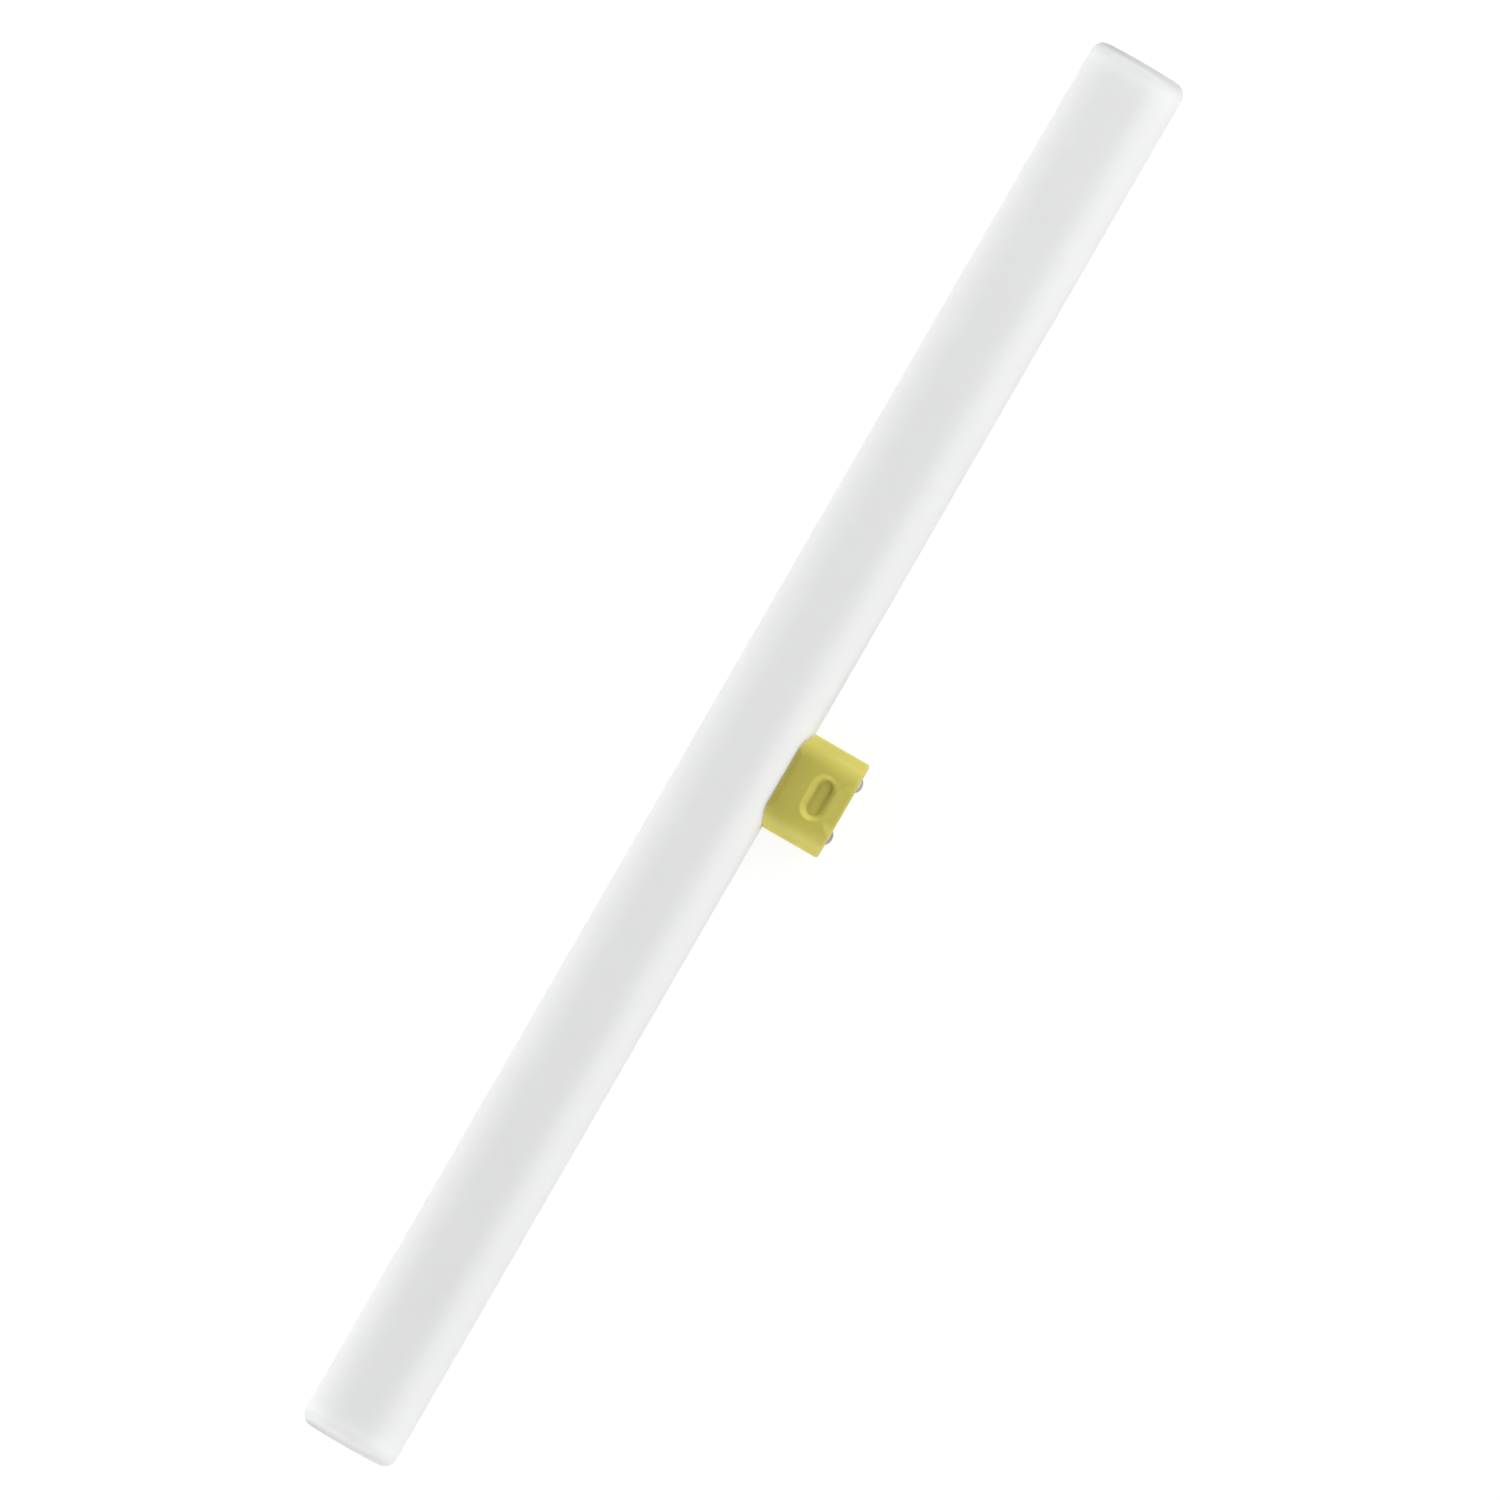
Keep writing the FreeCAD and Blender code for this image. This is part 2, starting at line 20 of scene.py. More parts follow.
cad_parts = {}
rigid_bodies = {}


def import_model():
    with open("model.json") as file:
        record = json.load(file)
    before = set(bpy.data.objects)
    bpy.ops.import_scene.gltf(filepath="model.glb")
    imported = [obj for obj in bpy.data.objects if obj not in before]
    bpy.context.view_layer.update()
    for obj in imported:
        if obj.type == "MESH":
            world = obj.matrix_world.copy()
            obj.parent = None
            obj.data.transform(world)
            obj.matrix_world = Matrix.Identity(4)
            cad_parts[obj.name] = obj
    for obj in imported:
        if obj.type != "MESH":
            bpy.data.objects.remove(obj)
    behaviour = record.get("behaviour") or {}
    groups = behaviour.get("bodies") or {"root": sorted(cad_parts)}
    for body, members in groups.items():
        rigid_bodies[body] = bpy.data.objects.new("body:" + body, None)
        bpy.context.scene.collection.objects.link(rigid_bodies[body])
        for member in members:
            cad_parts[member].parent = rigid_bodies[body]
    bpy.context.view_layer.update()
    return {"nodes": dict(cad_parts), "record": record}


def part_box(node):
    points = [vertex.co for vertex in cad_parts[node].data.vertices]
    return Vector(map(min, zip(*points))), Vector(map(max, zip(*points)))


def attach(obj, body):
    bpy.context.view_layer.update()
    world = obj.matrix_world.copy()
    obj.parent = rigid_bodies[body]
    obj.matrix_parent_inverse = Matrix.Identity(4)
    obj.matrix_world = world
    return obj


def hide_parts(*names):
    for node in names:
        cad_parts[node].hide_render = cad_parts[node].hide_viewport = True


for leftover in list(bpy.data.objects):
    bpy.data.objects.remove(leftover)
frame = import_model()

log = logging.getLogger("tube_lamp")

MM = 0.001
TINY = 1e-9
BODY = "root"
Ring = list[int]
Places = Sequence[Sequence[float]]
Colour = tuple[float, float, float]
Socket = bpy.types.NodeSocket
Object = bpy.types.Object
Array = np.ndarray
Placer = Callable[[float, float, float], tuple[float, float, float]]


class Side(Enum):
    """The two ends of the cap, by the sign of their X."""

    LEFT = -1
    RIGHT = 1

    @property
    def word(self) -> str:
        """The word that names of pieces end with."""
        return self.name.lower()


@dataclass(frozen=True)
class LampAxes:
    """The lamp's own axes, as they lie in the row's frame.

    Attributes:
        centre: The middle of the tube.
        roll: The turn about X that brings the cap's rim down to the floor, in radians.
        tube_radius: The tube's radius.
        tube_length: The tube's length.
        cap_reach: How far the cap's outer face is from the tube's axis.
        cap_half_length: Half the cap's length along the tube.
        contact_place: How far each contact's axis is from the middle of the cap.
        lead_place: How far each lead is from the middle of the cap.
    """

    centre: Vector
    roll: float
    tube_radius: float
    tube_length: float
    cap_reach: float
    cap_half_length: float
    contact_place: float
    lead_place: float

    @classmethod
    def from_frame(cls, record: dict) -> "LampAxes":
        """Read the lamp's axes and main sizes from the frame.

        Args:
            record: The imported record.

        Returns:
            The lamp's axes.
        """
        low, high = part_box("opal_tube")
        radius = high.z / 2
        centre = Vector(((low.x + high.x) / 2, high.y - radius, radius))
        cap_end = next(mount for mount in record["mounts"] if mount["name"] == "cap_end")
        _, out_y, out_z = cap_end["axis"]
        contact, wire = (sum(corner.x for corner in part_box(node)) / 2
                         for node in ("contact_right", "lead_wire_right"))
        return cls(
            centre=centre,
            roll=math.atan2(-out_z, -out_y),
            tube_radius=radius,
            tube_length=high.x - low.x,
            cap_reach=(Vector(cap_end["pos_m"]) - centre).length,
            cap_half_length=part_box("cap_body")[1].x,
            contact_place=contact,
            lead_place=wire,
        )

    def matrix(self) -> Matrix:
        """The move from the lamp's own axes to the row's frame."""
        return Matrix.Translation(self.centre) @ Matrix.Rotation(self.roll, 4, "X")


class MeshDraft:
    """Points and faces of a piece, gathered in the lamp's own axes."""

    def __init__(self) -> None:
        """Start an empty draft."""
        self.points: list[tuple[float, float, float]] = []
        self.faces: list[tuple[int, ...]] = []

    def add_ring(self, points: Places) -> Ring:
        """Add a run of points.

        Args:
            points: The points, each as x, y and z.

        Returns:
            Their indices, in order.
        """
        start = len(self.points)
        self.points.extend(tuple(float(value) for value in point) for point in points)
        return list(range(start, len(self.points)))

    def bridge(self, first: Ring, second: Ring) -> None:
        """Join two closed rings of equal length with quads.

        Args:
            first: The ring that the faces start from.
            second: The ring that they end at.
        """
        count = len(first)
        for here in range(count):
            after = (here + 1) % count
            self.faces.append((first[here], first[after], second[after], second[here]))

    def bridge_all(self, rings: Sequence[Ring]) -> None:
        """Join each ring to the next one.

        Args:
            rings: The rings, in order.
        """
        for first, second in zip(rings, rings[1:]):
            self.bridge(first, second)

    def close(self, ring: Ring, centre: Sequence[float], outward: bool) -> None:
        """Close a ring with a fan about a point.

        Args:
            ring: The ring to close.
            centre: The fan's middle.
            outward: Whether the fan runs the same way round as the ring.
        """
        (middle,) = self.add_ring([centre])
        count = len(ring)
        for here in range(count):
            pair = (ring[here], ring[(here + 1) % count])
            self.faces.append((*pair, middle) if outward else (*pair[::-1], middle))

    def fill(self, outer: Ring, holes: Sequence[Ring], level: float, facing_out: bool) -> None:
        """Fill a plane square to Y, between an outline and the holes in it.

        Args:
            outer: The outline's ring.
            holes: The rings of the holes.
            level: The plane's y.
            facing_out: Whether the face looks along -Y.
        """
        indices, edges = [], []
        for ring in (outer, *holes):
            start, count = len(indices), len(ring)
            edges += [(start + here, start + (here + 1) % count) for here in range(count)]
            indices += ring
        flat = [Vector((self.points[index][0], self.points[index][2])) for index in indices]
        found, _, triangles, sources, _, _ = delaunay_2d_cdt(flat, edges, [], 1, TINY)
        known = [indices[source[0]] if source else None for source in sources]
        for place, index in enumerate(known):
            if index is None:
                (known[place],) = self.add_ring([(found[place].x, level, found[place].y)])
        circles = [self._circle_of(ring) for ring in holes]
        for triangle in triangles:
            middle = sum((found[corner] for corner in triangle), Vector((0, 0))) / 3
            if any((middle - centre).length < radius for centre, radius in circles):
                continue
            corners = [known[corner] for corner in triangle]
            a, b, c = (Vector(self.points[corner]) for corner in corners)
            looks_out = (b - a).cross(c - a).y < 0
            self.faces.append(tuple(corners if looks_out == facing_out else corners[::-1]))

    def _circle_of(self, ring: Ring) -> tuple[Vector, float]:
        """Find the circle that a ring lies on.

        Args:
            ring: A ring that is a circle square to Y.

        Returns:
            The circle's centre, in x and z, and its radius.
        """
        flat = [Vector((self.points[index][0], self.points[index][2])) for index in ring]
        centre = sum(flat, Vector((0, 0))) / len(flat)
        return centre, (flat[0] - centre).length

    def finish(self, name: str, axes: LampAxes, crease: float = 40.0) -> Object:
        """Make the object, laid down with the lamp.

        Args:
            name: The piece's name.
            axes: The lamp's axes.
            crease: The angle between faces, in degrees, over which an edge stays sharp.

        Returns:
            The new object.
        """
        mesh = bpy.data.meshes.new(name)
        mesh.from_pydata(self.points, [], self.faces)
        mesh.transform(axes.matrix())
        mesh.validate()
        mesh.shade_smooth()
        mesh.set_sharp_from_angle(angle=math.radians(crease))
        piece = bpy.data.objects.new(name, mesh)
        bpy.context.scene.collection.objects.link(piece)
        return piece


def arc(centre: Sequence[float], radius: float, start: float, end: float, steps: int) -> Array:
    """Points on a circular arc in a plane.

    Args:
        centre: The arc's centre.
        radius: Its radius.
        start: Where it starts, in degrees.
        end: Where it ends, in degrees.
        steps: How many equal steps it has.

    Returns:
        The points, both ends included.
    """
    angles = np.radians(np.linspace(start, end, steps + 1))
    return np.stack((centre[0] + radius * np.cos(angles), centre[1] + radius * np.sin(angles)), 1)


def turn_profile(
    draft: MeshDraft, profile: Places, place: Placer, segments: int
) -> list[Ring]:
    """Turn a profile about an axis.

    Args:
        draft: The draft that gets the rings.
        profile: Pairs of a distance along the axis and a radius.
        place: Gives a point from a distance along the axis and two offsets square to it.
        segments: How many steps there are round the axis.

    Returns:
        One ring for each pair.
    """
    turns = np.linspace(0, 2 * math.pi, segments, endpoint=False)
    rings = [
        draft.add_ring([place(along, size * math.cos(a), size * math.sin(a)) for a in turns])
        for along, size in profile
    ]
    draft.bridge_all(rings)
    return rings


def turned_piece(
    name: str, axes: LampAxes, profile: Places, place: Placer, segments: int,
    tip: float | None = None,
) -> Object:
    """Turn a whole piece about an axis and close both of its ends.

    Args:
        name: The piece's name.
        axes: The lamp's axes.
        profile: Pairs of a distance along the axis and a radius.
        place: Gives a point from a distance along the axis and two offsets square to it.
        segments: How many steps there are round the axis.
        tip: Where on the axis the first end closes, if that isn't level with its ring.

    Returns:
        The new object.
    """
    draft = MeshDraft()
    rings = turn_profile(draft, profile, place, segments)
    start = profile[0][0] if tip is None else tip
    draft.close(rings[0], place(start, 0, 0), outward=False)
    draft.close(rings[-1], place(profile[-1][0], 0, 0), outward=True)
    return draft.finish(name, axes)


def smooth_min(first: Array, second: Array, blend: float) -> Array:
    """The lower of two heights, rounded off where they meet.

    Args:
        first: One height.
        second: The other height.
        blend: The difference in height within which the two blend.

    Returns:
        The blended height.
    """
    near = np.maximum(blend - np.abs(first - second), 0) / blend
    return np.minimum(first, second) - near * near * blend / 4


def eased(share: Array, rounding: float) -> Array:
    """A straight rise from 0 to 1 with both of its ends rounded.

    Args:
        share: How far along the rise a point is, from 0 to 1.
        rounding: The share of the rise that each rounded end takes.

    Returns:
        The height.
    """
    steep = 1 / (1 - rounding)
    low = share * share * steep / (2 * rounding)
    middle = (share - rounding / 2) * steep
    high = 1 - (1 - share) ** 2 * steep / (2 * rounding)
    return np.where(share < rounding, low, np.where(share > 1 - rounding, high, middle))


class NodeBench:
    """A material's node tree, with short ways to add and join nodes."""

    def __init__(self, name: str) -> None:
        """Start a material with a principled shader.

        Args:
            name: The material's name.
        """
        self.material = bpy.data.materials.new(name)
        self.material.use_nodes = True
        self.tree = self.material.node_tree
        self.shader = self.tree.nodes["Principled BSDF"]
        self.place = self.add("ShaderNodeTexCoord").outputs["Object"]

    def add(self, kind: str, **inputs: object) -> bpy.types.Node:
        """Add a node.

        Args:
            kind: The node's type.
            **inputs: What its sockets are set to, with _ for a space in a socket's name.

        Returns:
            The node.
        """
        node = self.tree.nodes.new(kind)
        for name, value in inputs.items():
            node.inputs[name.replace("_", " ")].default_value = value
        return node

    def join(self, source: Socket, target: Socket) -> None:
        """Link one socket to another."""
        self.tree.links.new(source, target)

    def noise(self, scale: float, detail: float = 3.0, rough: float = 0.5) -> Socket:
        """Noise over the object.

        Args:
            scale: Its features to the metre.
            detail: How many finer layers it has.
            rough: How strong the finer layers are.

        Returns:
            The noise's value.
        """
        node = self.add("ShaderNodeTexNoise", Scale=scale, Detail=detail, Roughness=rough)
        self.join(self.place, node.inputs["Vector"])
        return node.outputs["Fac"]

    def remap(
        self, value: Socket, low: float, high: float, to_low: float, to_high: float
    ) -> Socket:
        """Move a value from one range to another, held within it.

        Args:
            value: The value.
            low: Where its range starts.
            high: Where its range ends.
            to_low: Where the new range starts.
            to_high: Where the new range ends.

        Returns:
            The moved value.
        """
        node = self.add("ShaderNodeMapRange")
        for name, number in (
            ("From Min", low), ("From Max", high), ("To Min", to_low), ("To Max", to_high)
        ):
            node.inputs[name].default_value = number
        self.join(value, node.inputs["Value"])
        return node.outputs["Result"]

    def blend(self, share: Socket, first: Colour | Socket, second: Colour) -> Socket:
        """Mix a colour into another one.

        Args:
            share: How much of the second there is.
            first: The first colour, or the socket that gives it.
            second: The second colour.

        Returns:
            The mixed colour.
        """
        node = self.add("ShaderNodeMix")
        node.data_type = "RGBA"
        self.join(share, node.inputs["Factor"])
        tone_a, tone_b = (socket for socket in node.inputs if socket.type == "RGBA")
        if isinstance(first, Socket):
            self.join(first, tone_a)
        else:
            tone_a.default_value = (*first, 1)
        tone_b.default_value = (*second, 1)
        return next(socket for socket in node.outputs if socket.type == "RGBA")

    def math(self, operation: str, value: Socket, other: float | Socket = 0.0) -> Socket:
        """Put a value through a math node.

        Args:
            operation: What the node does.
            value: Its first input.
            other: Its second input, a number or a socket.

        Returns:
            The node's result.
        """
        node = self.add("ShaderNodeMath")
        node.operation = operation
        self.join(value, node.inputs[0])
        if isinstance(other, Socket):
            self.join(other, node.inputs[1])
        else:
            node.inputs[1].default_value = other
        return node.outputs[0]

    def colour(self, tone: Socket) -> None:
        """Give the surface its colour."""
        self.join(tone, self.shader.inputs["Base Color"])

    def roughness(self, noise: Socket, low: float, high: float) -> None:
        """Let noise vary the surface's roughness.

        Args:
            noise: The noise.
            low: The lowest roughness.
            high: The highest roughness.
        """
        self.join(self.remap(noise, 0.3, 0.7, low, high), self.shader.inputs["Roughness"])

    def bump(self, height: Socket, depth: float) -> None:
        """Give the surface a relief, over any that it has so far.

        Args:
            height: The relief's height, from 0 to 1.
            depth: How deep it is at full height.
        """
        node = self.add("ShaderNodeBump", Strength=1.0, Distance=depth)
        self.join(height, node.inputs["Height"])
        for link in list(self.shader.inputs["Normal"].links):
            self.join(link.from_socket, node.inputs["Normal"])
        self.join(node.outputs["Normal"], self.shader.inputs["Normal"])

    def set(self, **values: object) -> None:
        """Set sockets of the shader, with _ for a space in a socket's name."""
        for name, value in values.items():
            self.shader.inputs[name.replace("_", " ")].default_value = value


class Surface:
    """A finish that makes its own material."""

    def make(self, name: str) -> bpy.types.Material:
        """Make the material.

        Args:
            name: Its name.

        Returns:
            The material.
        """
        bench = NodeBench(name)
        self.lay(bench)
        return bench.material

    def lay(self, bench: NodeBench) -> None:
        """Lay the finish's nodes on an empty bench."""
        raise NotImplementedError


@dataclass(frozen=True)
class OpalGlass(Surface):
    """Opal glass: milky and softly lit from within its wall, with painted shade that greys it
    where its ends close.

    Attributes:
        tone: The glass with its full opal coat.
        deep_tone: The glass where the coat is a little uneven.
        end_shade_tone: The dark grey of the painted shade at the bend where the wall turns in to
            close each end.
        face_shade_share: How strong the painted shade is in the middle of an end, as a share of
            the bend's.
        face_shade_span: Where across an end the painted shade grows to the bend's, as shares of
            the radius.
        end_shade_length: Over what length of the tube the painted shade grows towards each end.
        scatter_depth: How far light travels in the glass.
        ripple: How deep the ripples of the drawn glass are. Scales are features to the metre.
        rough: Its lowest and highest roughness.
    """

    tone: Colour = (0.91, 0.915, 0.92)
    deep_tone: Colour = (0.885, 0.89, 0.90)
    end_shade_tone: Colour = (0.19, 0.19, 0.195)
    face_shade_share: float = 0.62
    face_shade_span: tuple[float, float] = (0.6, 0.92)
    end_shade_length: float = 6 * MM
    scatter_depth: float = 5 * MM
    cloud_scale: float = 14.0
    haze_scale: float = 60.0
    ripple_scale: float = 45.0
    ripple: float = 0.01 * MM
    rough: tuple[float, float] = (0.44, 0.54)

    def lay(self, bench: NodeBench) -> None:
        """Lay the glass's nodes on an empty bench."""
        cloud = bench.remap(bench.noise(self.cloud_scale, 2.0), 0.35, 0.75, 0.0, 0.5)
        coat = bench.blend(cloud, self.tone, self.deep_tone)
        # Painted shade: towards each end the glass is blended to a dark grey tone.
        bench.colour(bench.blend(self._end_shade(bench), coat, self.end_shade_tone))
        bench.roughness(bench.noise(self.haze_scale), *self.rough)
        bench.bump(bench.noise(self.ripple_scale, 1.0), self.ripple)
        bench.set(
            Subsurface_Weight=1.0,
            Subsurface_Radius=(1.0, 1.0, 1.0),
            Subsurface_Scale=self.scatter_depth,
            IOR=1.5,
            Specular_IOR_Level=0.25,
        )

    def _end_shade(self, bench: NodeBench) -> Socket:
        """How strong the painted shade is, from 0 on the tube's barrel to 1 at the bend of its
        ends.

        Args:
            bench: The material's nodes.

        Returns:
            The painted shade's strength.
        """
        low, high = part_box("opal_tube")
        middle, radius = (low + high) / 2, (high.z - low.z) / 2
        centred = bench.add("ShaderNodeVectorMath")
        centred.operation = "SUBTRACT"
        centred.inputs[1].default_value = middle
        bench.join(bench.place, centred.inputs[0])
        parts = bench.add("ShaderNodeSeparateXYZ")
        bench.join(centred.outputs["Vector"], parts.inputs["Vector"])
        x, y, z = (bench.math("ABSOLUTE", parts.outputs[axis]) for axis in "XYZ")
        along = bench.remap(x, high.x - self.end_shade_length, high.x, 0.0, 1.0)
        squares = [bench.math("POWER", side, 2.0) for side in (y, z)]
        spread = bench.math("SQRT", bench.math("ADD", *squares))
        start, end = (share * radius for share in self.face_shade_span)
        across = bench.remap(spread, start, end, self.face_shade_share, 1.0)
        return bench.math("POWER", bench.math("MULTIPLY", along, across), 2.0)


@dataclass(frozen=True)
class MouldedPlastic(Surface):
    """Satin moulded plastic, with the fine grain of its mould and a painted highlight that pales
    its sharp edges.

    Attributes:
        edge_highlight_pointiness: The pointiness at which the painted edge highlight starts and
            at which it is full.
        edge_highlight_share: How much of the pale highlight tone the sharpest edge gets.
        grain: How deep the mould's grain is. Scales are features to the metre.
        wave: How deep the long waves of the surface are.
    """

    tone: Colour = (0.62, 0.557, 0.112)
    dull_tone: Colour = (0.58, 0.518, 0.100)
    edge_highlight_tone: Colour = (0.78, 0.74, 0.40)
    edge_highlight_pointiness: tuple[float, float] = (0.51, 0.56)
    edge_highlight_share: float = 0.7
    rough: tuple[float, float] = (0.42, 0.56)
    cloud_scale: float = 130.0
    gloss_scale: float = 300.0
    grain_scale: float = 2600.0
    grain: float = 0.012 * MM
    wave_scale: float = 420.0
    wave: float = 0.02 * MM

    def lay(self, bench: NodeBench) -> None:
        """Lay the plastic's nodes on an empty bench."""
        cloud = bench.remap(bench.noise(self.cloud_scale, 4.0, 0.6), 0.35, 0.7, 0.0, 0.6)
        tone = bench.blend(cloud, self.tone, self.dull_tone)
        # Painted highlight: sharp edges, found by pointiness, are paled towards a light tone.
        edge = bench.add("ShaderNodeNewGeometry").outputs["Pointiness"]
        edge_highlight = bench.remap(edge, *self.edge_highlight_pointiness, 0.0, self.edge_highlight_share)
        bench.colour(bench.blend(edge_highlight, tone, self.edge_highlight_tone))
        bench.roughness(bench.noise(self.gloss_scale), *self.rough)
        bench.bump(bench.noise(self.grain_scale, 2.0), self.grain)
        bench.bump(bench.noise(self.wave_scale, 2.0), self.wave)
        bench.set(IOR=1.5, Specular_IOR_Level=0.2)


@dataclass(frozen=True)
class WornMetal(Surface):
    """Plain or plated metal with fine scratches and a thin tarnish.

    Attributes:
        tone: The clean metal.
        tarnish: The dulled metal.
        rough: Its lowest and highest roughness.
        stain_scale: The stains to the metre.
        scratch_scale: The scratches to the metre.
        scratch: How deep the scratches are.
    """

    tone: Colour
    tarnish: Colour
    rough: tuple[float, float] = (0.22, 0.4)
    stain_scale: float = 420.0
    scratch_scale: float = 900.0
    scratch: float = 0.004 * MM

    def lay(self, bench: NodeBench) -> None:
        """Lay the metal's nodes on an empty bench."""
        stain = bench.remap(bench.noise(self.stain_scale, 4.0, 0.65), 0.45, 0.68, 0.0, 1.0)
        bench.colour(bench.blend(stain, self.tone, self.tarnish))
        bench.roughness(bench.noise(self.scratch_scale), *self.rough)
        bench.bump(bench.noise(self.scratch_scale * 2), self.scratch)
        bench.set(Metallic=1.0)


@dataclass(frozen=True)
class ChalkyFill(Surface):
    """A dry, grainy fill such as cement, or woven sleeving.

    Attributes:
        tone: The fill's colour.
        dark_tone: The colour of its pores.
        grain: Its grains to the metre.
        relief: How deep the grain is.
    """

    tone: Colour
    dark_tone: Colour
    grain: float = 1500.0
    relief: float = 0.06 * MM

    def lay(self, bench: NodeBench) -> None:
        """Lay the fill's nodes on an empty bench."""
        pores = bench.remap(bench.noise(self.grain, 4.0, 0.7), 0.4, 0.65, 0.0, 1.0)
        bench.colour(bench.blend(pores, self.dark_tone, self.tone))
        bench.bump(pores, self.relief)
        bench.set(Roughness=0.85, Specular_IOR_Level=0.2)


class Finish(Enum):
    """The lamp's finishes, by the record's material slot."""

    OPAL_GLASS = ("opal_glass", OpalGlass())
    YELLOW_PLASTIC = ("yellow_plastic", MouldedPlastic())
    CEMENT = ("cement", ChalkyFill((0.84, 0.81, 0.74), (0.66, 0.62, 0.55)))
    CONTACT_METAL = ("contact_metal", WornMetal((0.42, 0.40, 0.38), (0.26, 0.235, 0.21)))
    TAG_METAL = ("tag_metal", WornMetal((0.80, 0.66, 0.36), (0.55, 0.40, 0.20)))
    LEAD_METAL = ("lead_metal", WornMetal((0.74, 0.69, 0.64), (0.50, 0.45, 0.41)))
    SLEEVE = ("sleeve", ChalkyFill((0.87, 0.85, 0.79), (0.74, 0.71, 0.64), 2600.0, 0.04 * MM))

    @property
    def slot(self) -> str:
        """The record's name for the finish."""
        return self.value[0]

    def material(self) -> bpy.types.Material:
        """The finish's material, made the first time that it is asked for."""
        name = f"{self.slot}_finish"
        return bpy.data.materials.get(name) or self.value[1].make(name)

    def dress(self, piece: Object) -> None:
        """Give a piece this finish and no other one.

        Args:
            piece: The piece.
        """
        piece.data.materials.clear()
        piece.data.materials.append(self.material())
        piece.data.polygons.foreach_set("material_index", [0] * len(piece.data.polygons))


def place_piece(piece: Object, finish: Finish, *stands_for: str) -> None:
    """Dress a new piece, set it on the lamp's body and report it.

    Args:
        piece: The piece.
        finish: Its finish.
        *stands_for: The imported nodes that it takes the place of.
    """
    finish.dress(piece)
    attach(piece, BODY)
    finish.slot
    if stands_for:
        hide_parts(*stands_for)
    log.info("%s: %d faces", piece.name, len(piece.data.polygons))


@dataclass
class GlassTube:
    """The closed opal tube and the fused seals that the leads go into."""

    axes: LampAxes
    rim_radius: float = 4.1 * MM
    rim_steps: int = 16
    face_shares: tuple[float, ...] = (0.25, 0.5, 0.75, 0.92)
    segments: int = 224
    barrel_steps: int = 48
    seal_radius: float = 2.2 * MM
    seal_rise: float = 1.5 * MM
    seal_lip: float = 0.4 * MM
    seal_foot: float = 0.8 * MM
    seal_bore: float = 0.42 * MM
    seal_depth: float = 3.5 * MM
    seal_lip_steps: int = 5
    seal_foot_steps: int = 6
    seal_segments: int = 48

    def build(self) -> None:
        """Build the tube and its seals."""
        place_piece(self._tube(), Finish.OPAL_GLASS, "opal_tube")
        for side in Side:
            place_piece(self._seal(side), Finish.OPAL_GLASS)

    def _tube(self) -> Object:
        """The tube, turned about X.

        Returns:
            The piece.
        """
        half, radius, rim = self.axes.tube_length / 2, self.axes.tube_radius, self.rim_radius
        corner = arc((half - rim, radius - rim), rim, 0, 90, self.rim_steps)
        face = [(half, (radius - rim) * share) for share in self.face_shares]
        end = face + [tuple(point) for point in corner]
        barrel = np.linspace(half - rim, rim - half, self.barrel_steps + 1)[1:-1]
        profile = end + [(x, radius) for x in barrel] + [(-x, r) for x, r in reversed(end)]
        return turned_piece(
            "glass_tube", self.axes, profile, lambda x, y, z: (x, y, z), self.segments
        )

    def _seal(self, side: Side) -> Object:
        """A seal, whose foot runs out on the glass, with a bore for its lead.

        Args:
            side: Which lead it is for.

        Returns:
            The piece.
        """
        radius = self.axes.tube_radius
        top = radius + self.seal_rise
        lip_centre = (top - self.seal_lip, self.seal_radius - self.seal_lip)
        lip = arc(lip_centre, self.seal_lip, 0, 90, self.seal_lip_steps)
        foot_centre = (radius + self.seal_foot, self.seal_radius + self.seal_foot)
        foot = arc(foot_centre, self.seal_foot, 270, 180, self.seal_foot_steps)
        profile = [(top - self.seal_depth, self.seal_bore), (top, self.seal_bore)]
        profile += [tuple(point) for point in lip] + [tuple(point) for point in foot]
        profile.append((radius - self.seal_depth / 2, self.seal_radius + self.seal_foot))
        middle = side.value * self.axes.lead_place
        return turned_piece(
            f"fused_seal_{side.word}", self.axes, profile,
            lambda along, x, z: (middle + x, -along, z), self.seal_segments,
        )


